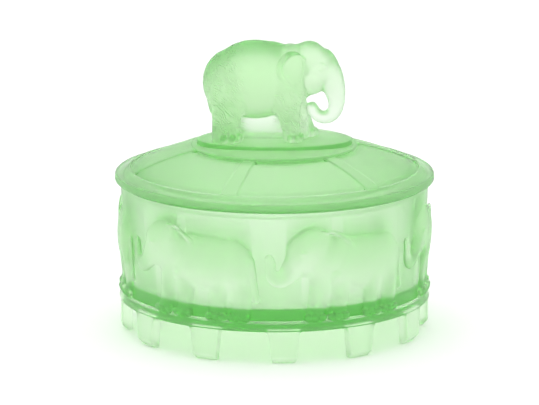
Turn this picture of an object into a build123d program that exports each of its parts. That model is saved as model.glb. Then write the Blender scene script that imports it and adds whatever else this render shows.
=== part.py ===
from build123d import *
import os
from math import cos, pi, radians, sin

# Footed powder jar of pressed satin glass with a lift-off lid: millimetres, +Z up.
# The origin is on the jar's axis, on the surface that the feet stand on.
# The jar and the lid are the two pressings; the lid's elephant faces +X and the jar's front is -Y.

# ---- jar: wall, floor and mouth ----
jar_radius = 67.7            # outside of the wall at the mouth
jar_height = 66.3            # standing surface to the mouth's flat rim, where the lid rests
wall_thickness = 4.0
wall_draft = 0.8             # how much wider the outside is at the mouth than at the floor
cup_draft = 0.6              # extra wall at the floor, so that the plunger leaves the cup
lip_rounding = 0.7
floor_thickness = 7.5        # its underside is level with the ring's
cup_corner_radius = 1.5      # inside, where the wall meets the floor

# ---- jar: ring and feet ----
ring_stand_out = 1.3         # ring beyond the wall's lower end
ring_height = 3.6
ring_bevel = 1.0
foot_count = 12
foot_height = 14.5           # standing surface to the ring
foot_top_width = 14.4
foot_bottom_width = 10.4
foot_thickness = 4.8
foot_corner = 1.8            # bevel at the foot's two lower corners
foot_toe_bevel = 2.0         # bevel on the foot's outer lower edge
foot_root = 1.0              # how far a foot is carried up into the ring
jar_turn = 3.5               # degrees from the jar's front to the nearest foot's middle

# ---- jar: parade of elephants in low relief ----
elephant_count = 6
elephant_turn = 25.5         # degrees from the jar's front to the first elephant's middle
relief_height = 2.5
relief_root = 1.5            # how deep the relief is carried into the wall
elephant_fill = 0.93         # trunk to rump, as a share of one elephant's stretch of wall
elephant_reach = 0.857       # soles to crown, as a share of the wall above the ring

# ---- lid: rim, cone and flange ----
lid_overhang = 2.3           # lid's rim beyond the jar's mouth
rim_underside_rise = 1.2     # slope under the rim, from the seat to the rim's edge
rim_band = 2.2               # height of the rim's upright edge
shoulder_width = 6.2         # rim edge in to the cone's border
shoulder_rise = 2.6
cone_rise = 8.8              # border up to the foot of the dais
cone_bulge = 0.9             # how far the cone swells above a straight line
lid_thickness = 4.2
flange_depth = 3.6           # flange inside the jar's mouth
flange_thickness = 3.0
flange_clearance = 0.8       # flange to mouth, all round: pressed glass is a loose fit

# ---- lid: ribs, dais and oval plate ----
rib_count = 6
rib_turn = -18.0             # degrees from the front to the first rib
rib_inner_width = 6.6
rib_outer_width = 8.2
rib_height = 0.5
dais_radius = 36.0
dais_step = 0.8
dais_dome = 1.8              # rise of the domed top above the dais's edge
plate_long_share = 0.95      # oval's length and width as shares of the dais's
plate_wide_share = 0.556
plate_stand = 1.0            # plate's top above the dome's crown
plate_root = 2.5

# ---- lid: elephant that is the knob, measured from the plate's top ----
figure_height = 43.6         # soles to back
belly_height = 9.4
leg_radius = 6.1
leg_spread = 6.0             # each leg's middle off the centre plane
near_hind_x = -21.0
far_hind_x = -17.0
near_fore_x = 8.6
far_fore_x = 13.4
trunk_root_radius = 6.0
trunk_tip_radius = 2.7
ear_length = 11.0
ear_tall = 17.5
ear_thickness = 2.0
ear_middle_x = 6.6
ear_middle_z = 26.8
ear_off = 11.0               # ear's middle off the centre plane
web_thickness = 2.0          # thin web of glass under the belly
# cross sections from rump to brow: place along the body, lowest and highest point, width
torso_sections = [
    (-30.8, 19.0, 30.0, 8.0),
    (-28.5, 14.0, 35.0, 17.0),
    (-23.0, belly_height + 1.5, 39.8, 23.5),
    (-14.0, belly_height, 42.8, 26.0),
    (-5.0, belly_height, figure_height, 26.5),
    (4.0, belly_height + 1.0, 42.4, 25.0),
    (11.0, 15.0, 42.8, 20.5),
    (17.5, 19.0, 42.9, 17.5),
    (23.5, 21.0, 38.6, 14.5),
    (28.0, 22.5, 33.5, 10.5),
]
# middle line of the trunk from the brow to the tip
trunk_line = [(25.0, 27.0), (27.2, 19.5), (27.3, 13.5), (24.6, 9.4), (20.6, 9.6), (18.2, 12.8)]

# ---- sizes that follow from the ones above ----
ring_bottom = foot_height
ring_top = ring_bottom + ring_height
floor_bottom = ring_bottom
floor_top = floor_bottom + floor_thickness
wall_foot_radius = jar_radius - wall_draft
ring_radius = wall_foot_radius + ring_stand_out
foot_inner_radius = ring_radius - foot_thickness
mouth_radius = jar_radius - wall_thickness
cup_floor_radius = wall_foot_radius - wall_thickness - cup_draft
elephant_length = 2 * pi * jar_radius / elephant_count * elephant_fill
elephant_tall = (jar_height - ring_top) * elephant_reach

seat_height = jar_height
lid_radius = jar_radius + lid_overhang
flange_radius = mouth_radius - flange_clearance
flange_bottom = seat_height - flange_depth
rim_edge_bottom = seat_height + rim_underside_rise
rim_edge_top = rim_edge_bottom + rim_band
border_radius = lid_radius - shoulder_width
border_height = rim_edge_top + shoulder_rise
dais_foot_height = border_height + cone_rise
dais_edge_height = dais_foot_height + dais_step
plate_top = dais_edge_height + dais_dome + plate_stand
plate_length = 2 * dais_radius * plate_long_share
plate_width = 2 * dais_radius * plate_wide_share

overlap = 0.5                # how far joined shapes run into each other
forward = (0, -1, 0)


def spun(points):
    """Turn a closed outline of radius and height about the jar's axis."""
    outline = Plane.XZ * Polyline(points, close=True)
    return revolve(make_face(outline), Axis.Z)


def around(shape, count, first):
    """Copies of a shape at the front, turned about the axis at even steps."""
    step = 360 / count
    return [Rot(0, 0, first + step * turn) * shape for turn in range(count)]


# ---- jar ----
def jar_shell():
    """Wall, thick floor and the ring round its edge."""
    corner = cup_corner_radius
    slant = corner * (1 - cos(pi / 4))
    outside = Polyline(
        (0, floor_bottom),
        (ring_radius, ring_bottom),
        (ring_radius, ring_top - ring_bevel),
        (ring_radius - ring_bevel, ring_top),
        (wall_foot_radius, ring_top),
        (jar_radius, jar_height - lip_rounding),
    )
    lip = ThreePointArc(
        (jar_radius, jar_height - lip_rounding),
        (jar_radius - lip_rounding * (1 - cos(pi / 4)), jar_height - lip_rounding * (1 - sin(pi / 4))),
        (jar_radius - lip_rounding, jar_height),
    )
    inside = Polyline(
        (jar_radius - lip_rounding, jar_height),
        (mouth_radius, jar_height),
        (cup_floor_radius, floor_top + corner),
    )
    cup_corner = ThreePointArc(
        (cup_floor_radius, floor_top + corner),
        (cup_floor_radius - slant, floor_top + slant),
        (cup_floor_radius - corner, floor_top),
    )
    bottom = Polyline((cup_floor_radius - corner, floor_top), (0, floor_top), (0, floor_bottom))
    outline = Curve() + [outside, lip, inside, cup_corner, bottom]
    return revolve(make_face(Plane.XZ * outline), Axis.Z)


def feet():
    """Tapered lugs that stand on the surface and flare up into the ring."""
    top = foot_top_width / 2
    bottom = foot_bottom_width / 2
    root = foot_height + foot_root
    front = Plane.XZ * Polyline(
        (-top, root),
        (-bottom, foot_corner),
        (-bottom + foot_corner, 0),
        (bottom - foot_corner, 0),
        (bottom, foot_corner),
        (top, root),
        close=True,
    )
    lug = extrude(make_face(front), amount=ring_radius + foot_thickness, dir=forward)
    hoop = spun([
        (foot_inner_radius, 0),
        (ring_radius - foot_toe_bevel, 0),
        (ring_radius, foot_toe_bevel),
        (ring_radius, root),
        (foot_inner_radius, root),
    ])
    return [lug_copy & hoop for lug_copy in around(lug, foot_count, jar_turn)]


def elephant_outline():
    """Side view of a walking elephant that faces -X, soles at zero, trunk curled up in front."""
    back = [
        (0.15, 0.90), (0.235, 1.00), (0.33, 0.945), (0.41, 0.885), (0.52, 0.865),
        (0.68, 0.86), (0.80, 0.825), (0.90, 0.70), (0.975, 0.47), (0.97, 0.22), (0.95, 0.0),
    ]
    underside = [
        (0.77, 0.0), (0.76, 0.20), (0.71, 0.285), (0.60, 0.255), (0.50, 0.31), (0.46, 0.18),
        (0.44, 0.0), (0.27, 0.0), (0.295, 0.25), (0.285, 0.50),
    ]
    trunk = [
        (0.24, 0.56), (0.19, 0.43), (0.115, 0.355), (0.04, 0.39), (0.01, 0.50), (0.0, 0.66),
        (0.035, 0.725), (0.07, 0.67), (0.065, 0.53), (0.10, 0.465), (0.145, 0.55), (0.15, 0.70),
    ]
    points = [
        ((along - 0.5) * elephant_length, up * elephant_tall)
        for along, up in back + underside + trunk
    ]
    return Polyline(points, close=True)


def parade():
    """Elephants in low relief, each following the wall's curve."""
    side_view = Plane.XZ * Pos(0, ring_top) * elephant_outline()
    blank = extrude(make_face(side_view), amount=jar_radius + relief_height, dir=forward)
    skin = spun([
        (wall_foot_radius - relief_root, ring_top - overlap),
        (wall_foot_radius + relief_height - ring_bevel, ring_top - overlap),
        (wall_foot_radius + relief_height - ring_bevel, ring_top),
        (jar_radius + relief_height, jar_height),
        (jar_radius - relief_root, jar_height),
    ])
    return [blank_copy & skin for blank_copy in around(blank, elephant_count, elephant_turn)]


def jar():
    return jar_shell() + feet() + parade()


# ---- lid ----
def cone_curve(lift):
    """Bulging slope of the lid from its border up to the dais, raised by lift."""
    middle_radius = (border_radius + dais_radius) / 2
    middle_height = border_height + cone_rise / 2 + cone_bulge
    return ThreePointArc(
        (border_radius, border_height + lift),
        (middle_radius, middle_height + lift),
        (dais_radius, dais_foot_height + lift),
    )


def lid_shell():
    """Rim, cone, dais and locating flange, hollow underneath."""
    shoulder = SagittaArc(
        (lid_radius, rim_edge_top),
        (border_radius, border_height),
        -shoulder_rise / 4,
    )
    step = Line((dais_radius, dais_foot_height), (dais_radius, dais_edge_height))
    dome = ThreePointArc(
        (dais_radius, dais_edge_height),
        (dais_radius / 2, dais_edge_height + dais_dome * 3 / 4),
        (0, dais_edge_height + dais_dome),
    )
    under_top = dais_foot_height - lid_thickness
    inner_radius = flange_radius - flange_thickness
    under = Polyline(
        (0, dais_edge_height + dais_dome),
        (0, under_top),
        (dais_radius - lid_thickness, under_top),
        (inner_radius - lid_thickness, border_height - lid_thickness),
        (inner_radius, seat_height),
        (inner_radius, flange_bottom),
        (flange_radius, flange_bottom),
        (flange_radius, seat_height),
        (jar_radius, seat_height),
        (lid_radius, rim_edge_bottom),
        (lid_radius, rim_edge_top),
    )
    outline = Curve() + [shoulder, cone_curve(0), step, dome, under]
    return revolve(make_face(Plane.XZ * outline), Axis.Z)


def ribs():
    """Flat raised bands that run from the border up to the dais."""
    inner_end = dais_radius - overlap
    outer_end = border_radius + overlap
    strip = Polyline(
        (-rib_inner_width / 2, -inner_end),
        (rib_inner_width / 2, -inner_end),
        (rib_outer_width / 2, -outer_end),
        (-rib_outer_width / 2, -outer_end),
        close=True,
    )
    band = Pos(0, 0, rim_edge_top) * extrude(make_face(strip), amount=dais_edge_height)
    lower = rib_height - lid_thickness / 2
    skin_outline = Curve() + [
        cone_curve(rib_height),
        Line((dais_radius, dais_foot_height + rib_height), (dais_radius, dais_foot_height + lower)),
        cone_curve(lower),
        Line((border_radius, border_height + lower), (border_radius, border_height + rib_height)),
    ]
    skin = revolve(make_face(Plane.XZ * skin_outline), Axis.Z)
    return [band_copy & skin for band_copy in around(band, rib_count, rib_turn)]


def plate():
    """Oval plate that the elephant stands on."""
    oval = Ellipse(plate_length / 2, plate_width / 2)
    slab = extrude(Pos(0, 0, plate_top - plate_root) * oval, amount=plate_root)
    return chamfer(slab.edges().group_by(Axis.Z)[-1], 0.5)


def torso():
    """Body, neck and head in one smooth skin over oval cross sections."""
    sections = []
    for x, low, high, width in torso_sections:
        station = Plane(origin=(x, 0, (low + high) / 2), x_dir=(0, 1, 0), z_dir=(1, 0, 0))
        sections.append(station * Ellipse(width / 2, (high - low) / 2))
    return loft(sections)


def leg(foot_x, side):
    """Round leg from the plate up into the body."""
    sole = Pos(foot_x, side * leg_spread, -overlap)
    tall = figure_height / 2
    return sole * Cone(
        leg_radius, leg_radius * 0.92, tall, align=(Align.CENTER, Align.CENTER, Align.MIN)
    )


def trunk():
    """Trunk that hangs from the brow and curls back under the jaw."""
    swell = (trunk_root_radius - trunk_tip_radius) / (len(trunk_line) - 1)
    radii = [trunk_root_radius - swell * place for place in range(len(trunk_line))]
    pieces = []
    for (x, z), radius in zip(trunk_line, radii):
        pieces.append(Pos(x, 0, z) * Sphere(radius))
    for start, end, wide, narrow in zip(trunk_line, trunk_line[1:], radii, radii[1:]):
        run = Vector(end[0] - start[0], 0, end[1] - start[1])
        seat = Plane(origin=(start[0], 0, start[1]), z_dir=run)
        pieces.append(
            seat * Cone(wide, narrow, run.length, align=(Align.CENTER, Align.CENTER, Align.MIN))
        )
    return pieces


def ears():
    """A flap on each side of the head."""
    flap = Pos(ear_middle_x, 0, ear_middle_z) * Rot(90, 0, 0) * Ellipse(ear_length / 2, ear_tall / 2)
    blade = extrude(flap, amount=ear_thickness / 2, both=True)
    return [Pos(0, side * ear_off, 0) * blade for side in (-1, 1)]


def web():
    """Thin wall between the fore and hind legs, from the plate to the belly."""
    length = near_fore_x - near_hind_x
    middle = (near_fore_x + near_hind_x) / 2
    return Pos(middle, 0, -overlap) * Box(
        length, web_thickness, belly_height * 2, align=(Align.CENTER, Align.CENTER, Align.MIN)
    )


def elephant():
    """Knob of the lid, standing at the plate's height."""
    legs = [leg(near_hind_x, -1), leg(far_hind_x, 1), leg(near_fore_x, -1), leg(far_fore_x, 1)]
    figure = torso() + legs + trunk() + ears() + web()
    return Pos(0, 0, plate_top) * figure


def lid():
    return lid_shell() + ribs() + plate() + elephant()


nodes = {"jar": jar, "lid": lid}

os.makedirs("parts", exist_ok=True)
for name, make in nodes.items():
    export_step(make(), os.path.join("parts", name + ".step"))
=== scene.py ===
from math import cos, exp, pi, radians, sin, sqrt

import bpy
from bpy.props import FloatProperty, FloatVectorProperty, IntProperty, PointerProperty
from bpy.types import Operator, Panel, PropertyGroup
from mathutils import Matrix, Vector


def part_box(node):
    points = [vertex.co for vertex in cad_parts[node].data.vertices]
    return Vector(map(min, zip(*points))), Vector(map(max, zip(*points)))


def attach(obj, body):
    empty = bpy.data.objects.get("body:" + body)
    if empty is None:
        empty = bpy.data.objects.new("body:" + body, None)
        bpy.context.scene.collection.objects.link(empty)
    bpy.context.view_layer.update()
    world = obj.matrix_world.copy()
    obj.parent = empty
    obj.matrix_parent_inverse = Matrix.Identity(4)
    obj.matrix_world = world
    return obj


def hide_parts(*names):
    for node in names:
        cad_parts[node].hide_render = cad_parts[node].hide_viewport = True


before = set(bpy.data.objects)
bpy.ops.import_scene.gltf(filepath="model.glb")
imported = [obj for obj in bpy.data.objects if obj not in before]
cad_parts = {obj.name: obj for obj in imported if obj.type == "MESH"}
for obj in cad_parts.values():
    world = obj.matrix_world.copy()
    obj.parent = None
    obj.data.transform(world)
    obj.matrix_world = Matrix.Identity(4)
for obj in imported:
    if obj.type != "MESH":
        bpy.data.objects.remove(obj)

bl_info = {
    "name": "Satin glass powder jar",
    "version": (1, 0, 0),
    "blender": (4, 5, 0),
    "location": "View3D > Sidebar > Powder Jar",
    "description": "Models a footed powder jar of satin glass with an elephant on its lid",
    "category": "Add Mesh",
}

MM = 0.001
BEAD_SPACING = 0.45  # share of a limb's radius
MERGE_WITHIN = 0.01 * MM
SHARP = radians(50)  # edges that turn more than this stay crisp or are rounded over
SPIN_STEPS = 240
COVER = 0.02 * MM  # one surface kept just under another where two parts are fused
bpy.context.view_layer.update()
JAR_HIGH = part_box("jar")[1]
LID_LOW, LID_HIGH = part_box("lid")


def size_mm(name, description, default):
    """A length the user can change, kept in metres and given here in millimetres."""
    return FloatProperty(name=name, description=description, default=default * MM, unit="LENGTH")


def number(name, description, default):
    return FloatProperty(name=name, description=description, default=default, precision=3)


def turn_degrees(name, description, default):
    return FloatProperty(name=name, description=description, default=radians(default), subtype="ANGLE")


def tint(name, description, default):
    return FloatVectorProperty(
        name=name, description=description, default=default, subtype="COLOR", min=0, max=1
    )


class JarSizes(PropertyGroup):
    """Sizes of the cup, its ring and its feet."""
    mouth_height: FloatProperty(
        name="Mouth height", description="Table to the mouth's flat rim",
        default=JAR_HIGH.z, unit="LENGTH",
    )
    mouth_outside: size_mm("Mouth outside", "Outer radius of the wall at the mouth", 67.7)
    draft: size_mm("Draft", "How much wider the wall is at the mouth than at the floor", 0.8)
    wall: size_mm("Wall", "Thickness of the wall", 4.0)
    lip_rounding: size_mm("Lip rounding", "Rounding of the mouth's two edges", 0.9)
    cup_floor_radius: size_mm("Cup floor radius", "Inner radius at the floor", 62.3)
    cup_corner: size_mm("Cup corner", "Rounding inside, where wall meets floor", 1.8)
    floor_top: size_mm("Floor top", "Table to the inside of the floor", 22.0)
    ring_radius: size_mm("Ring radius", "Outer radius of the foot ring", 68.2)
    ring_inner: size_mm("Ring inner radius", "Inner radius of ring and feet", 63.4)
    ledge_bevel: size_mm("Ledge bevel", "Height of the slope on the ring's upper edge", 1.6)
    ring_bottom: size_mm("Ring bottom", "Table to the ring between two feet", 14.5)
    ring_top: size_mm("Ring top", "Table to the ledge on the ring", 18.1)
    feet: IntProperty(name="Feet", description="Number of feet", default=12, min=3)
    foot_top_width: size_mm("Foot width at the ring", "Width of a foot where it leaves the ring", 14.0)
    foot_bottom_width: size_mm("Foot width at the table", "Width of a foot at its sole", 10.8)
    foot_flare: size_mm("Foot flare", "Extra half width where a foot runs into the ring", 1.5)
    flare_reach: size_mm("Flare reach", "How fast the flare fades down the foot", 0.9)
    foot_root: size_mm("Foot root", "How far a foot is carried up into the ring", 1.2)
    foot_rounding: size_mm("Foot rounding", "Rounding of a foot's edges", 1.7)
    toe_bevel: size_mm("Toe bevel", "Height of the slope at a foot's outer lower edge", 2.4)
    turn: turn_degrees("Turn", "From the jar's front to the nearest foot", 3.5)
    relief: size_mm("Relief", "How far the elephants stand out of the wall", 2.3)
    figure_depth: size_mm("Figure depth", "Half the thickness of the rounder figure", 9.0)
    figure_sink: size_mm("Figure sink", "Depth at which the wall cuts that figure", 4.5)
    figure_drop: size_mm("Figure drop", "How far the soles reach into the ring", 0.3)
    elephants: IntProperty(name="Elephants", description="Number in the parade", default=6, min=1)
    parade_turn: turn_degrees("Parade turn", "From the jar's front to the first elephant", 25.5)


class LidSizes(PropertyGroup):
    """Sizes of the lid below its knob."""
    rim_radius: FloatProperty(
        name="Rim radius", description="Outer radius of the lid", default=LID_HIGH.x, unit="LENGTH"
    )
    flange_bottom: FloatProperty(
        name="Flange bottom", description="Lowest point of the flange inside the mouth",
        default=LID_LOW.z, unit="LENGTH",
    )
    seat_gap: size_mm("Seat gap", "Hairline between the lid and the mouth", 0.05)
    flange_outside: size_mm("Flange outside", "Outer radius of the flange", 62.9)
    flange_inside: size_mm("Flange inside", "Inner radius of the flange", 59.9)
    rim_low: size_mm("Rim low edge", "Table to the lower edge of the rim's band", 67.5)
    rim_high: size_mm("Rim high edge", "Table to the upper edge of the rim's band", 69.7)
    rim_seat: size_mm("Rim seat", "Radius where the slope under the rim begins", 67.5)
    shoulder_in: size_mm("Shoulder in", "Rim's edge in to the top of the rounded shoulder", 2.6)
    shoulder_up: size_mm("Shoulder up", "Rim's edge up to the top of the rounded shoulder", 1.5)
    border_radius: size_mm("Border radius", "Inner edge of the rounded shoulder", 63.9)
    border_height: size_mm("Border height", "Table to the inner edge of the shoulder", 72.3)
    border_step: size_mm("Border step", "Width of the step from the border down to the fields", 0.7)
    panel_depth: size_mm("Panel depth", "How far the fields lie below border and ribs", 0.55)
    bulge: size_mm("Bulge", "How far the fields swell above a straight cone", 0.9)
    glass: size_mm("Glass", "Thickness of the lid", 4.2)
    dais_radius: size_mm("Dais radius", "Outer radius of the round step", 36.0)
    dais_foot: size_mm("Dais foot", "Table to the foot of the round step", 81.1)
    dais_step: size_mm("Dais step", "Height of the round step", 0.9)
    dais_dome: size_mm("Dais dome", "Rise of the dais to its middle", 1.7)
    ribs: IntProperty(name="Ribs", description="Number of raised bands", default=6, min=1)
    rib_turn: turn_degrees("Rib turn", "From the front to the first rib", -18.0)
    rib_inner_width: size_mm("Rib width inside", "Width of a rib at the dais", 6.6)
    rib_outer_width: size_mm("Rib width outside", "Width of a rib at the border", 8.2)
    rib_slope: number("Rib slope", "Share of the half width that slopes", 0.26)
    plate_length: size_mm("Plate length", "Length of the oval plate", 68.4)
    plate_width: size_mm("Plate width", "Width of the oval plate", 40.0)
    plate_top: size_mm("Plate top", "Table to the top of the oval plate", 84.7)
    plate_thickness: size_mm("Plate thickness", "Oval plate, with the part sunk in the dais", 2.6)
    plate_rounding: size_mm("Plate rounding", "Rounding of the oval plate's edge", 0.55)


class GlassLook(PropertyGroup):
    """Colour and finish of the satin glass."""
    glass_tint: tint("Glass tint", "What the surface lets through", (1.0, 1.0, 1.0))
    cloud_tint: tint("Cloud tint", "The same in the cloudier patches", (0.975, 1.0, 0.97))
    depth_tint: tint("Depth tint", "Colour that thick glass goes to", (0.64, 0.903, 0.555))
    depth_density: number("Depth density", "How fast the jar takes its colour, per metre", 54.0)
    lid_density: number("Lid density", "How fast the lid takes its colour, per metre", 64.0)
    clearness: number("Clearness", "Share of the light that passes the etched surface", 0.96)
    jar_satin: number("Jar satin", "Roughness of the jar's etched surface", 0.38)
    lid_satin: number("Lid satin", "Roughness of the lid's etched surface", 0.45)
    floor_satin: number("Floor satin", "Roughness of both faces of the jar's floor", 0.12)
    satin_change: number("Satin change", "How far the roughness wanders", 0.06)
    mottle: size_mm("Mottle", "Size of the cloudier patches", 14.0)
    grain: size_mm("Grain", "Size of the etched grain", 0.5)
    grain_depth: size_mm("Grain depth", "Height of the etched grain", 0.01)
    wrinkle_gap: size_mm("Wrinkle gap", "From one skin fold to the next", 1.4)
    wrinkle_depth: size_mm("Wrinkle depth", "Height of the skin folds", 0.15)


class StageLook(PropertyGroup):
    """Table, light and camera."""
    table_tint: tint("Table tint", "Colour of the table", (0.98, 0.98, 0.98))
    table_cloud: tint("Table cloud", "Colour of its slightly darker patches", (0.97, 0.97, 0.97))
    # Painted light: an even glow on the table, though it is no lamp, so the jar's shadow and green halo on
    # it wash out to white.
    painted_table_glow: number("Table glow", "Light given by the lit paper itself", 0.06)
    light_tint: tint("Light tint", "Colour of the room's light", (1.0, 1.0, 1.0))
    room_light: number("Room light", "Strength of the room's light", 1.03)
    lamp_power: number("Lamp power", "Power of the soft lamp", 2.5)
    camera_distance: size_mm("Camera distance", "Camera to the jar's axis along the table", 1600.0)
    camera_height: size_mm("Camera height", "Camera above the table", 414.4)
    camera_pitch: turn_degrees("Camera pitch", "How far the camera looks down", 12.64)
    camera_lens: number("Camera lens", "Focal length in millimetres", 247.8)
    camera_shift: number("Camera shift", "Sideways shift of the frame", -0.0093)


# ---- making meshes ----
def deselect_all():
    if bpy.context.mode != "OBJECT":
        bpy.ops.object.mode_set(mode="OBJECT")
    bpy.ops.object.select_all(action="DESELECT")


def start_mesh(name):
    """An empty mesh at the origin, in edit mode."""
    deselect_all()
    bpy.ops.mesh.primitive_plane_add(size=MM)
    piece = bpy.context.object
    piece.name = name
    piece.data.name = name
    bpy.ops.object.mode_set(mode="EDIT")
    bpy.ops.mesh.select_all(action="SELECT")
    bpy.ops.mesh.delete(type="VERT")
    return piece


def finish_mesh():
    """Leave edit mode with the doubles merged and every face outwards."""
    bpy.ops.mesh.select_all(action="SELECT")
    bpy.ops.mesh.remove_doubles(threshold=MERGE_WITHIN)
    bpy.ops.mesh.normals_make_consistent(inside=False)
    bpy.ops.object.mode_set(mode="OBJECT")


def only(piece):
    deselect_all()
    bpy.context.view_layer.objects.active = piece
    piece.select_set(True)


def apply_modifier(piece, kind, **settings):
    """Add a modifier with the given settings and apply it."""
    only(piece)
    modifier = piece.modifiers.new(kind.title(), kind)
    for name, value in settings.items():
        setattr(modifier, name, value)
    bpy.ops.object.modifier_apply(modifier=modifier.name)


def round_edges(piece, width, segments):
    """Round over the edges that turn sharply."""
    apply_modifier(piece, "BEVEL", width=width, segments=segments, limit_method="ANGLE", angle_limit=SHARP)


def unite(piece, other):
    """Fuse another closed mesh into this one, and remove the other."""
    apply_modifier(piece, "BOOLEAN", operation="UNION", solver="MANIFOLD", object=other)
    bpy.data.objects.remove(other)


def turned_copy(piece, angle):
    """A copy with its own mesh, turned about the jar's axis."""
    only(piece)
    bpy.ops.object.duplicate(linked=False)
    copy = bpy.context.object
    copy.rotation_euler.z = angle
    bpy.ops.object.transform_apply(location=False, rotation=True, scale=False)
    return copy


def unite_around(piece, part, count, first):
    """Fuse evenly turned copies of a part into a piece, and remove the part."""
    for turn in range(count):
        unite(piece, turned_copy(part, first + turn * 2 * pi / count))
    bpy.data.objects.remove(part)


def rounded(corners, steps=4):
    """Points of an outline in metres from corners of radius, height and rounding in millimetres."""
    points = []
    last = len(corners) - 1
    for place, (r, z, rounding) in enumerate(corners):
        here = Vector((r, z))
        if not rounding or place in (0, last):
            points.append(here * MM)
            continue
        before = (Vector(corners[place - 1][:2]) - here).normalized()
        after = (Vector(corners[place + 1][:2]) - here).normalized()
        half = before.angle(after) / 2
        reach = rounding / max(0.05, abs(sin(half) / cos(half)))
        middle = here + (before + after).normalized() * (rounding / sin(half))
        start = here + before * reach - middle
        end = here + after * reach - middle
        for step in range(steps + 1):
            points.append((middle + start.slerp(end, step / steps)) * MM)
    return points


def spun(name, outline):
    """Extrude an outline point by point and spin it about the jar's axis."""
    piece = start_mesh(name)
    bpy.ops.mesh.primitive_plane_add(size=MM, location=(outline[0].x, 0, outline[0].y))
    bpy.ops.mesh.merge(type="CENTER")
    for here, there in zip(outline, outline[1:]):
        step = there - here
        bpy.ops.mesh.extrude_vertices_move(TRANSFORM_OT_translate={"value": (step.x, 0, step.y)})
    bpy.ops.mesh.select_all(action="SELECT")
    bpy.ops.mesh.spin(steps=SPIN_STEPS, angle=2 * pi, center=(0, 0, 0), axis=(0, 0, 1))
    finish_mesh()
    return piece


def reshape(piece, move):
    """Move every vertex to where a function of its place says."""
    for vertex in piece.data.vertices:
        vertex.co = move(vertex.co)
    piece.data.update()


def face_outwards(piece):
    """Merge doubles and turn every face outwards again after a reshape."""
    only(piece)
    bpy.ops.object.mode_set(mode="EDIT")
    finish_mesh()


def blob(middle, radii, lean=0.0):
    """Add an egg shape in millimetres to the mesh in edit mode, leaning about Y in degrees."""
    bpy.ops.mesh.primitive_uv_sphere_add(
        segments=20, ring_count=12, radius=1,
        location=Vector(middle) * MM, rotation=(0, radians(lean), 0), scale=Vector(radii) * MM,
    )


def limb(stations):
    """Add a round limb of close beads, on a smooth curve through stations of x, y, z and radius."""
    stations = [Vector(station) for station in stations]
    ends = [stations[0], *stations, stations[-1]]
    for a, b, c, d in zip(ends, ends[1:], ends[2:], ends[3:]):
        spacing = BEAD_SPACING * max(b.w, 0.5)
        beads = max(2, round((c.xyz - b.xyz).length / spacing))
        for bead in range(beads + 1):
            t = bead / beads
            place = 0.5 * (
                2 * b + (c - a) * t + (2 * a - 5 * b + 4 * c - d) * t * t
                + (3 * b - a - 3 * c + d) * t * t * t
            )
            bpy.ops.mesh.primitive_ico_sphere_add(
                subdivisions=2, radius=place.w * MM, location=place.xyz * MM
            )


def skin(piece, voxel, passes):
    """Melt all that was added into one closed skin and smooth it."""
    bpy.ops.object.mode_set(mode="OBJECT")
    apply_modifier(piece, "REMESH", mode="VOXEL", voxel_size=voxel * MM)
    apply_modifier(piece, "SMOOTH", factor=0.5, iterations=passes)


def add_details(piece, details, voxel, passes):
    """Model the small forms apart, then melt them into the piece."""
    extra = start_mesh("details")
    details()
    bpy.ops.object.mode_set(mode="OBJECT")
    only(piece)
    extra.select_set(True)
    bpy.ops.object.join()
    skin(piece, voxel, passes)


# ---- the knob: a standing elephant ----
def knob_body():
    """Barrel, haunches, shoulders, head and legs, nose towards +X, soles at zero."""
    blob((-8.5, 0, 26.6), (20.5, 12.8, 17.4))
    blob((-18.8, 0, 25.2), (12.9, 12.4, 14.8))
    blob((-14.0, 0, 30.0), (12.5, 10.8, 10.8))
    blob((-3.0, 0, 31.2), (15.0, 10.6, 12.2))
    blob((4.0, 0, 25.5), (11.5, 11.8, 15.8))
    blob((10.0, 0, 31.0), (9.5, 8.6, 11.2), 10)
    for side in (-1, 1):
        blob((-20.4, 6.2 * side, 20.5), (8.8, 6.9, 13.0), -6)
        blob((5.4, 6.2 * side, 21.0), (7.4, 5.9, 11.0), 6)
    limb([(-20.8, -6.6, 16, 7.4), (-21.2, -7.0, 8.5, 6.6), (-21.3, -7.0, 4.0, 6.5), (-21.1, -7.0, 1.6, 6.7)])
    limb([(-18.6, 6.4, 16, 7.0), (-19.0, 6.8, 8.5, 6.4), (-19.2, 6.8, 4.0, 6.2), (-19.0, 6.8, 1.6, 6.4)])
    limb([(5.6, -6.2, 18, 6.4), (6.5, -6.6, 11.0, 5.0), (7.3, -6.9, 5.0, 4.2), (7.8, -6.9, 1.6, 4.2)])
    limb([(7.5, 5.6, 18, 6.4), (10.6, 6.0, 10.0, 5.0), (13.0, 6.2, 4.5, 4.4), (14.0, 6.2, 1.6, 4.5)])
    limb([(3.2, 4.6, 18, 3.4), (3.4, 4.8, 10, 2.8), (3.8, 5.0, 3, 3.0)])
    limb([(8.0, 0, 18, 6.0), (9.8, 0, 11.0, 4.6), (11.0, 0.2, 5.0, 3.8), (11.6, 0.2, 1.4, 3.6)])
    blob((6.0, 0, 31.6), (10.0, 10.0, 10.4))
    blob((-21.0, 0, 17.5), (7.4, 7.0, 10.0))
    blob((15.2, 0, 35.4), (7.9, 8.3, 8.1))
    blob((18.2, 0, 31.0), (8.6, 7.8, 9.6), -25)
    blob((15.4, 0, 26.6), (8.0, 8.4, 7.2))
    blob((12.0, 0, 24.0), (7.0, 7.0, 5.8))
    blob((12.4, 0, 31.6), (6.2, 8.9, 9.6))
    limb([
        (20.4, 0, 33.6, 7.1), (23.5, 0, 28.8, 6.5), (25.9, 0, 23.6, 5.4), (27.1, 0, 18.4, 4.3),
        (27.1, 0, 14.2, 3.6), (25.4, 0, 10.7, 3.3), (22.3, 0, 9.3, 3.1), (19.2, 0, 10.1, 3.0),
        (17.4, 0, 12.2, 2.8), (16.6, 0, 14.2, 2.5),
    ])


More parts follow.
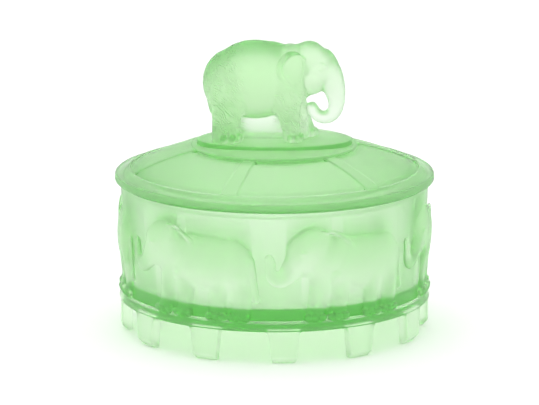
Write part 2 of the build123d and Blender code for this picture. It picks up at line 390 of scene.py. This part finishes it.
def knob_details():
    """Ears, eyes, toes, tail and the web of glass under the belly."""
    for side in (-1, 1):
        blob((7.0, 9.2 * side, 31.4), (5.4, 2.4, 8.6), 12)
        blob((8.8, 8.8 * side, 25.4), (2.8, 2.2, 3.8), 12)
        limb([
            (9.4, 9.6 * side, 22.4, 1.0), (5.6, 11.0 * side, 25.8, 1.2), (2.4, 11.7 * side, 30.6, 1.2),
            (2.4, 11.6 * side, 35.0, 1.3), (5.4, 10.6 * side, 38.8, 1.4), (9.2, 9.0 * side, 39.0, 1.3),
            (12.2, 8.0 * side, 36.4, 1.0),
        ])
        blob((20.6, 7.2 * side, 32.2), (1.5, 0.8, 1.1), -20)
        limb([(18.6, 7.4 * side, 33.6, 0.5), (20.6, 7.2 * side, 34.2, 0.6), (22.6, 6.6 * side, 33.0, 0.5)])
    feet = ((-21.1, -7.0, 6.7, -1), (-19.0, 6.8, 6.4, 1), (7.8, -6.9, 4.3, -1), (14.0, 6.2, 4.6, 1))
    for x, y, radius, side in feet:
        for turn in (-100, -62, -24, 14, 52):
            angle = radians(turn) * -side
            reach = radius - 0.3
            blob((x + reach * cos(angle), y + reach * sin(angle), 1.7), (1.45, 1.45, 1.9))
    limb([(-27.6, 0, 33.0, 1.0), (-29.6, 0, 27.0, 1.1), (-29.0, 0, 20.0, 1.3), (-26.8, 0, 12.5, 1.8)])
    limb([(-17.0, 0, 0.5, 1.9), (4.0, 0, 0.5, 1.9)])
    bpy.ops.mesh.primitive_cube_add(
        size=1, location=Vector((-6.5, 0, 5.5)) * MM, scale=Vector((25, 2.0, 12.5)) * MM
    )


def make_knob(top):
    """The whole elephant in one skin, standing at the given height."""
    piece = start_mesh("knob")
    knob_body()
    skin(piece, 0.6, 14)
    add_details(piece, knob_details, 0.42, 4)
    reshape(piece, lambda place: Vector((place.x, place.y, max(place.z, -0.6 * MM) + top)))
    return piece


# ---- the lid ----
def field_height(sizes, r):
    """Height in millimetres of the lid's sunk fields at a radius in millimetres."""
    outer = sizes.border_radius / MM
    inner = sizes.dais_radius / MM
    low = (sizes.border_height - sizes.panel_depth) / MM
    high = sizes.dais_foot / MM
    share = (outer - r) / (outer - inner)
    return low + (high - low) * share + sizes.bulge / MM * 4 * share * (1 - share)


def lid_outline(sizes):
    """Half section of the lid, from under its middle round to the top of the dais."""
    inner = sizes.flange_inside / MM
    outer = sizes.flange_outside / MM
    seat = (JAR_HIGH.z + sizes.seat_gap) / MM
    flange = sizes.flange_bottom / MM
    rim = sizes.rim_radius / MM
    border = sizes.border_radius / MM
    border_top = sizes.border_height / MM
    field = border - sizes.border_step / MM
    glass = sizes.glass / MM
    dais = sizes.dais_radius / MM
    dais_foot = sizes.dais_foot / MM
    edge = dais_foot + sizes.dais_step / MM
    dome = sizes.dais_dome / MM
    corners = [
        (0, dais_foot - glass, 0),
        (dais - glass, dais_foot - glass, 4.0),
        (inner - glass, border_top - glass, 5.0),
        (inner, seat, 1.2),
        (inner, flange, 0.8),
        (outer, flange, 0.8),
        (outer, seat, 0.4),
        (sizes.rim_seat / MM, seat, 0.3),
        (rim - 0.1, sizes.rim_low / MM, 0.5),
        (rim, sizes.rim_high / MM, 0.7),
        (rim - sizes.shoulder_in / MM, (sizes.rim_high + sizes.shoulder_up) / MM, 3.0),
        (border, border_top, 0.8),
        (field, field_height(sizes, field), 0.3),
    ]
    steps = 14
    for step in range(1, steps):
        r = field + (dais + 0.3 - field) * step / steps
        corners.append((r, field_height(sizes, r), 0))
    corners += [
        (dais + 0.2, dais_foot, 0.15),
        (dais, edge, 0.3),
    ]
    for share in (0.9, 0.75, 0.5, 0.25, 0.0):
        corners.append((dais * share, edge + dome * (1 - share * share), 0))
    return rounded(corners)


def make_rib(sizes):
    """A band at the front that swells softly out of the field, level with the border."""
    piece = start_mesh("rib")
    bpy.ops.mesh.primitive_grid_add(x_subdivisions=24, y_subdivisions=24, size=2)
    bpy.ops.mesh.extrude_region_move(TRANSFORM_OT_translate={"value": (0, 0, 1)})
    finish_mesh()
    inner = sizes.dais_radius / MM - 1.0
    outer = sizes.border_radius / MM + 0.6
    depth = sizes.panel_depth / MM

    def place_on_cone(place):
        along = (place.y + 1) / 2
        r = inner + (outer - inner) * along
        width = sizes.rib_inner_width + (sizes.rib_outer_width - sizes.rib_inner_width) * along
        x = place.x / 2 * width / MM
        swell = min(1, (1 - abs(place.x)) / sizes.rib_slope)
        swell = swell * swell * (3 - 2 * swell)
        rise = depth * swell - 0.03 if place.z > 0.5 else -3 * depth
        return Vector((x, -sqrt(r * r - x * x), field_height(sizes, r) + rise)) * MM

    reshape(piece, place_on_cone)
    face_outwards(piece)
    return piece


def make_plate(sizes):
    """The oval plate under the elephant, its upper edge rounded."""
    deselect_all()
    bpy.ops.mesh.primitive_cylinder_add(
        vertices=160, radius=1, depth=1,
        location=(0, 0, sizes.plate_top - sizes.plate_thickness / 2),
        scale=(sizes.plate_length / 2, sizes.plate_width / 2, sizes.plate_thickness),
    )
    piece = bpy.context.object
    piece.name = "plate"
    bpy.ops.object.transform_apply(location=True, rotation=True, scale=True)
    round_edges(piece, sizes.plate_rounding, 4)
    return piece


class JAR_OT_lid(Operator):
    """Model the lid with its ribs, dais, oval plate and elephant as one pressing"""
    bl_idname = "powder_jar.lid"
    bl_label = "Lid"

    def execute(self, context):
        sizes = context.scene.powder_jar_lid
        lid = spun("lid_glass", lid_outline(sizes))
        unite_around(lid, make_rib(sizes), sizes.ribs, sizes.rib_turn)
        unite(lid, make_plate(sizes))
        unite(lid, make_knob(sizes.plate_top))
        glass = lid_glass(context.scene.powder_jar_glass, sizes.plate_top)
        finish_piece(lid, "lid", "lid", glass)
        return {"FINISHED"}


# ---- the jar ----
def wall_radius(sizes, z):
    """Outer radius of the wall at a height."""
    share = (z - sizes.ring_top) / (sizes.mouth_height - sizes.ring_top)
    return sizes.mouth_outside - sizes.draft * (1 - share)


def jar_outline(sizes):
    """Half section of the cup, from under its floor round to the floor's middle."""
    ring = sizes.ring_radius / MM
    bottom = sizes.ring_bottom / MM
    ledge = sizes.ring_top / MM
    mouth = sizes.mouth_outside / MM
    height = sizes.mouth_height / MM
    wall = sizes.wall / MM
    floor = sizes.floor_top / MM
    cup = sizes.cup_floor_radius / MM
    bevel = sizes.ledge_bevel / MM
    foot_of_wall = mouth - sizes.draft / MM
    lip = sizes.lip_rounding / MM
    return rounded([
        (0, bottom, 0),
        (ring, bottom, 0.5),
        (ring, ledge - bevel, 1.2),
        (foot_of_wall + 0.3, ledge, 0.5),
        (foot_of_wall, ledge, 0.2),
        (mouth, height, lip),
        (mouth - wall, height, lip),
        (cup, floor, sizes.cup_corner / MM),
        (0, floor, 0),
    ], 6)


def wrap(piece, radius_at):
    """Bend a flat piece round the jar: X runs along the wall, -Y outwards."""
    def bent(place):
        radius = radius_at(place.z)
        angle = place.x / radius
        return Vector((sin(angle) * (radius - place.y), -cos(angle) * (radius - place.y), place.z))
    reshape(piece, bent)


def make_foot(sizes):
    """One tapered foot at the front, flared where it runs into the ring."""
    piece = start_mesh("foot")
    depth = sizes.ring_radius - sizes.ring_inner
    bpy.ops.mesh.primitive_grid_add(x_subdivisions=10, y_subdivisions=28, size=2, rotation=(pi / 2, 0, 0))
    bpy.ops.mesh.extrude_region_move(TRANSFORM_OT_translate={"value": (0, 1, 0)})
    finish_mesh()
    root = sizes.ring_bottom + sizes.foot_root

    def taper(place):
        z = (place.z + 1) / 2 * root
        share = z / root
        half = (sizes.foot_bottom_width * (1 - share) + sizes.foot_top_width * share) / 2
        half += sizes.foot_flare * exp(-max(0, sizes.ring_bottom - z) / sizes.flare_reach)
        slope = max(0, sizes.toe_bevel - z) if place.y < 0.5 else 0
        return Vector((place.x * half, place.y * depth + slope, z))

    reshape(piece, taper)
    round_edges(piece, sizes.foot_rounding, 5)
    face_outwards(piece)
    wrap(piece, lambda z: sizes.ring_radius - COVER)
    return piece


def parade_figure():
    """Walking elephant that faces -X, soles at zero, deeper than the relief that will show."""
    blob((11, 0, 24.8), (21.8, 9.0, 13.4), 3)
    blob((21, 0, 24.5), (12.4, 9.0, 13.2))
    blob((2, 0, 25.5), (15.6, 9.0, 12.9))
    blob((-12.5, 0, 31.2), (11.8, 9.0, 11.2))
    blob((-17.0, 0, 29.2), (9.4, 8.6, 10.6), -10)
    blob((-8, 0, 27), (11.2, 8.6, 11.6))
    limb([(-17.5, -1.4, 29.5, 7.6), (-21.0, -2.4, 25.2, 6.0), (-24.6, -3.2, 20.6, 4.4),
          (-28.0, -3.7, 18.4, 3.4), (-30.8, -4.0, 19.9, 2.9), (-31.8, -4.1, 23.0, 2.6),
          (-31.6, -4.2, 26.4, 2.4), (-32.4, -4.3, 28.4, 2.2)])
    limb([(-9.0, -1.8, 20, 6.4), (-10.5, -1.6, 11, 5.2), (-11.8, -1.5, 4, 4.9), (-12.2, -1.5, 1.2, 5.1)])
    limb([(-1.0, -1.6, 18, 6.0), (-0.6, -1.5, 10, 5.0), (-1.4, -1.4, 4, 4.7), (-1.6, -1.4, 1.2, 4.9)])
    limb([(16.5, -1.6, 18, 6.6), (15.2, -1.5, 10, 5.1), (15.0, -1.4, 4, 4.7), (14.8, -1.4, 1.2, 4.9)])
    limb([(24.2, -1.4, 20, 7.4), (26.0, -1.6, 10, 5.6), (25.6, -1.5, 4, 5.0), (25.0, -1.5, 1.2, 5.2)])


def parade_details():
    """Ear with its folded edge, toes, tail and eye of the relief elephant."""
    blob((-4.0, -3.0, 28.6), (8.2, 6.4, 9.8), 14)
    blob((-3.0, -2.8, 20.6), (4.4, 5.6, 6.0), 14)
    limb([(-9.0, -5.8, 39.2, 0.8), (-4.5, -6.5, 39.0, 0.9), (0.0, -6.9, 37.0, 1.0), (3.6, -7.0, 33.4, 1.0),
          (4.6, -7.0, 27.6, 1.0), (2.8, -6.6, 21.6, 0.9), (-0.8, -6.3, 16.6, 0.8)])
    limb([(30.6, -4.4, 27, 1.6), (31.6, -4.5, 20, 1.4), (32.4, -4.5, 13, 1.4), (32.8, -4.5, 10, 1.7)])
    blob((-17.8, -7.4, 30.6), (1.9, 2.0, 1.3))
    for x in (-12.2, -1.6, 14.8, 25.0):
        for reach in (-3.4, 0, 3.4):
            blob((x + reach, -5.6, 2.0), (1.7, 3.4, 1.8))


def make_parade_elephant(sizes):
    """One relief elephant at the front, on the wall's curve."""
    piece = start_mesh("parade_elephant")
    parade_figure()
    skin(piece, 0.7, 12)
    add_details(piece, parade_details, 0.5, 5)
    apply_modifier(piece, "DECIMATE", ratio=0.45)
    sink = sizes.figure_sink
    flatten = sizes.relief / (sizes.figure_depth - sink)
    lift = sizes.ring_top - sizes.figure_drop
    reshape(piece, lambda place: Vector((place.x, (place.y + sink) * flatten, place.z + lift)))
    wrap(piece, lambda z: wall_radius(sizes, z))
    return piece


class JAR_OT_jar(Operator):
    """Model the jar with its floor, ring, feet and relief elephants as one pressing"""
    bl_idname = "powder_jar.jar"
    bl_label = "Jar"

    def execute(self, context):
        sizes = context.scene.powder_jar_jar
        jar = spun("jar_glass", jar_outline(sizes))
        unite_around(jar, make_foot(sizes), sizes.feet, sizes.turn)
        unite_around(jar, make_parade_elephant(sizes), sizes.elephants, sizes.parade_turn)
        finish_piece(jar, "jar", "jar", jar_glass(context.scene.powder_jar_glass, sizes))
        return {"FINISHED"}


def finish_piece(piece, body, node, material):
    """Smooth the shading, give the glass, and let the piece stand for its CAD node."""
    only(piece)
    bpy.ops.object.shade_smooth_by_angle(angle=SHARP)
    piece.data.materials.clear()
    piece.data.materials.append(material)
    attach(piece, body)
    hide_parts(node)
    print(piece.name, "triangles", sum(len(face.vertices) - 2 for face in piece.data.polygons))


# ---- shading ----
class Wire:
    """A node socket that does sums: plain numbers and other wires on either side."""

    def __init__(self, shop, socket):
        self.shop = shop
        self.socket = socket

    def sum(self, operation, *others):
        return self.shop.node("ShaderNodeMath", {"operation": operation}, *others)

    def __add__(self, other):
        return self.sum("ADD", self, other)

    def __radd__(self, other):
        return self.sum("ADD", other, self)

    def __sub__(self, other):
        return self.sum("SUBTRACT", self, other)

    def __rsub__(self, other):
        return self.sum("SUBTRACT", other, self)

    def __mul__(self, other):
        return self.sum("MULTIPLY", self, other)

    def __rmul__(self, other):
        return self.sum("MULTIPLY", other, self)

    def __truediv__(self, other):
        return self.sum("DIVIDE", self, other)


class Shop:
    """Builds one material's nodes."""

    def __init__(self, name):
        self.material = bpy.data.materials.new(name)
        self.material.use_nodes = True
        self.tree = self.material.node_tree
        self.tree.nodes.clear()

    def node(self, kind, settings=None, *values, out=0, **named):
        """Add a node, set it up, fill or link its sockets, and give back one output."""
        node = self.tree.nodes.new(kind)
        for name, value in (settings or {}).items():
            setattr(node, name, value)
        for key, value in [*enumerate(values), *named.items()]:
            socket = node.inputs[key.replace("_", " ") if isinstance(key, str) else key]
            if isinstance(value, Wire):
                self.tree.links.new(value.socket, socket)
            else:
                socket.default_value = value
        return Wire(self, node.outputs[out])

    def noise(self, place, size, detail=2.0):
        """Even noise from 0 to 1 with lumps of about the given size."""
        return self.node("ShaderNodeTexNoise", None, Vector=place, Scale=1 / size, Detail=detail)

    def ramp(self, value, low, high):
        """Smooth step from 0 at low to 1 at high."""
        return self.node(
            "ShaderNodeMapRange", {"interpolation_type": "SMOOTHSTEP"}, value, low, high, 0.0, 1.0
        )

    def blend(self, share, first, second):
        """Mix of two colours."""
        node = self.tree.nodes.new("ShaderNodeMix")
        node.data_type = "RGBA"
        self.tree.links.new(share.socket, node.inputs[0])
        node.inputs[6].default_value = (*first, 1)
        node.inputs[7].default_value = (*second, 1)
        return Wire(self, node.outputs[2])

    def output(self, surface, volume=None):
        out = self.tree.nodes.new("ShaderNodeOutputMaterial")
        self.tree.links.new(surface.socket, out.inputs["Surface"])
        if volume:
            self.tree.links.new(volume.socket, out.inputs["Volume"])
        return self.material


def axes(shop):
    """Object place, and its three parts."""
    place = shop.node("ShaderNodeTexCoord", None, out="Object")
    parts = [shop.node("ShaderNodeSeparateXYZ", None, place, out=axis) for axis in range(3)]
    return place, parts


def satin_glass(shop, look, roughness, relief, density):
    """Etched pale glass that takes a deep green where it is thick."""
    place, _ = axes(shop)
    mottle = shop.noise(place, look.mottle)
    tint_colour = shop.blend(mottle, look.glass_tint, look.cloud_tint)
    grain = shop.noise(place, look.grain, 3.0)
    height = relief + grain * look.grain_depth
    normal = shop.node("ShaderNodeBump", None, Strength=1.0, Distance=1.0, Height=height)
    rough = roughness + (mottle - 0.5) * look.satin_change
    surface = shop.node(
        "ShaderNodeBsdfPrincipled", None, Base_Color=tint_colour, Roughness=rough, IOR=1.5,
        Transmission_Weight=look.clearness, Normal=normal,
    )
    volume = shop.node(
        "ShaderNodeVolumeAbsorption", None, Color=(*look.depth_tint, 1), Density=density
    )
    return shop.output(surface, volume)


def jar_glass(look, sizes):
    """The jar's glass: etched, but smoother on both faces of its floor."""
    shop = Shop("jar_satin_glass")
    _, (x, y, z) = axes(shop)
    level = shop.node("ShaderNodeCombineXYZ", None, x, y, 0.0)
    radius = shop.node("ShaderNodeVectorMath", {"operation": "LENGTH"}, level, out="Value")
    cup = sizes.cup_floor_radius
    inside = 1 - shop.ramp(radius, cup - 0.3 * MM, cup + 0.9 * MM)
    low = 1 - shop.ramp(z, sizes.floor_top + 0.2 * MM, sizes.floor_top + MM)
    roughness = look.jar_satin - inside * low * (look.jar_satin - look.floor_satin)
    return satin_glass(shop, look, roughness, 0 * z, look.depth_density)


def lid_glass(look, soles):
    """The lid's glass, with fine wrinkles on the elephant's rump, shoulder and legs."""
    shop = Shop("lid_satin_glass")
    place, (x, _, z) = axes(shop)
    knob = shop.ramp(z, soles + 2.3 * MM, soles + 5.3 * MM)
    rump = 1 - shop.ramp(x, -19.0 * MM, -9.0 * MM)
    shoulder = shop.ramp(x, -3.0 * MM, 3.0 * MM) * (1 - shop.ramp(x, 13.0 * MM, 16.0 * MM))
    low = 1 - shop.ramp(z, soles + 19.3 * MM, soles + 27.3 * MM)
    where = knob * (rump + shoulder * low)
    wander = shop.noise(place, 7.0 * MM, 2.0) * 9.0 * MM
    lie = (z + x * 0.75 + wander) / look.wrinkle_gap
    folds = lie.sum("SINE", lie * 2 * pi)
    patch = shop.ramp(shop.noise(place, 2.6 * MM, 1.0), 0.38, 0.6)
    relief = folds * patch * where * look.wrinkle_depth
    return satin_glass(shop, look, look.lid_satin + 0 * z, relief, look.lid_density)


def matt_table(look):
    """Plain pale paper with a faint unevenness, and a painted glow that washes the jar's shadow on it out to
    white.
    """
    shop = Shop("table_paper")
    place, _ = axes(shop)
    cloud = shop.noise(place, 0.4)
    colour = shop.blend(cloud, look.table_tint, look.table_cloud)
    surface = shop.node(
        "ShaderNodeBsdfPrincipled", None, Base_Color=colour, Roughness=0.9,
        # Painted light: the table glows so the jar's shadow and green halo on it wash out to white.
        Emission_Color=(1, 1, 1, 1), Emission_Strength=look.painted_table_glow,
    )
    return shop.output(surface)


class JAR_OT_stage(Operator):
    """Set the table, the light and the camera"""
    bl_idname = "powder_jar.stage"
    bl_label = "Stage"

    def execute(self, context):
        look = context.scene.powder_jar_stage
        deselect_all()
        bpy.ops.mesh.primitive_plane_add(size=12, location=(0, 0, -0.0002))
        table = context.object
        table.name = "table"
        table.data.materials.append(matt_table(look))
        world = bpy.data.worlds.new("soft_room")
        world.use_nodes = True
        backdrop = world.node_tree.nodes["Background"]
        backdrop.inputs["Color"].default_value = (*look.light_tint, 1)
        backdrop.inputs["Strength"].default_value = look.room_light
        context.scene.world = world
        bpy.ops.object.light_add(type="AREA", location=(-0.15, 0.25, 1.5))
        lamp = context.object
        lamp.name = "soft_lamp"
        lamp.data.shape = "DISK"
        lamp.data.size = 0.9
        lamp.data.energy = look.lamp_power
        lamp.rotation_euler = (-lamp.location).to_track_quat("-Z", "Y").to_euler()
        bpy.ops.object.camera_add(
            location=(0, -look.camera_distance, look.camera_height),
            rotation=(pi / 2 - look.camera_pitch, 0, 0),
        )
        camera = context.object
        camera.name = "camera"
        camera.data.sensor_width = 36
        camera.data.lens = look.camera_lens
        camera.data.shift_x = look.camera_shift
        camera.data.clip_end = 50
        context.scene.camera = camera
        context.scene.view_settings.view_transform = "Standard"
        cycles = context.scene.cycles
        cycles.max_bounces = 32
        cycles.transmission_bounces = 32
        cycles.glossy_bounces = 32
        cycles.diffuse_bounces = 6
        cycles.blur_glossy = 0
        return {"FINISHED"}


class JAR_PT_panel(Panel):
    """Sidebar list of the jar's sizes and makers"""
    bl_idname = "JAR_PT_panel"
    bl_label = "Powder Jar"
    bl_space_type = "VIEW_3D"
    bl_region_type = "UI"
    bl_category = "Powder Jar"

    def draw(self, context):
        layout = self.layout
        for group in GROUPS:
            box = layout.box()
            settings = getattr(context.scene, group)
            for name in GROUPS[group].__annotations__:
                box.prop(settings, name)
        for maker in MAKERS:
            layout.operator(maker.bl_idname)


GROUPS = {
    "powder_jar_jar": JarSizes,
    "powder_jar_lid": LidSizes,
    "powder_jar_glass": GlassLook,
    "powder_jar_stage": StageLook,
}
MAKERS = (JAR_OT_stage, JAR_OT_jar, JAR_OT_lid)


def register():
    for group, kind in GROUPS.items():
        bpy.utils.register_class(kind)
        setattr(bpy.types.Scene, group, PointerProperty(type=kind))
    for kind in (*MAKERS, JAR_PT_panel):
        bpy.utils.register_class(kind)


def unregister():
    for kind in (JAR_PT_panel, *MAKERS):
        bpy.utils.unregister_class(kind)
    for group, kind in GROUPS.items():
        delattr(bpy.types.Scene, group)
        bpy.utils.unregister_class(kind)


def main():
    """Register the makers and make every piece."""
    register()
    bpy.ops.powder_jar.stage()
    bpy.ops.powder_jar.jar()
    bpy.ops.powder_jar.lid()


if __name__ == "__main__":
    main()
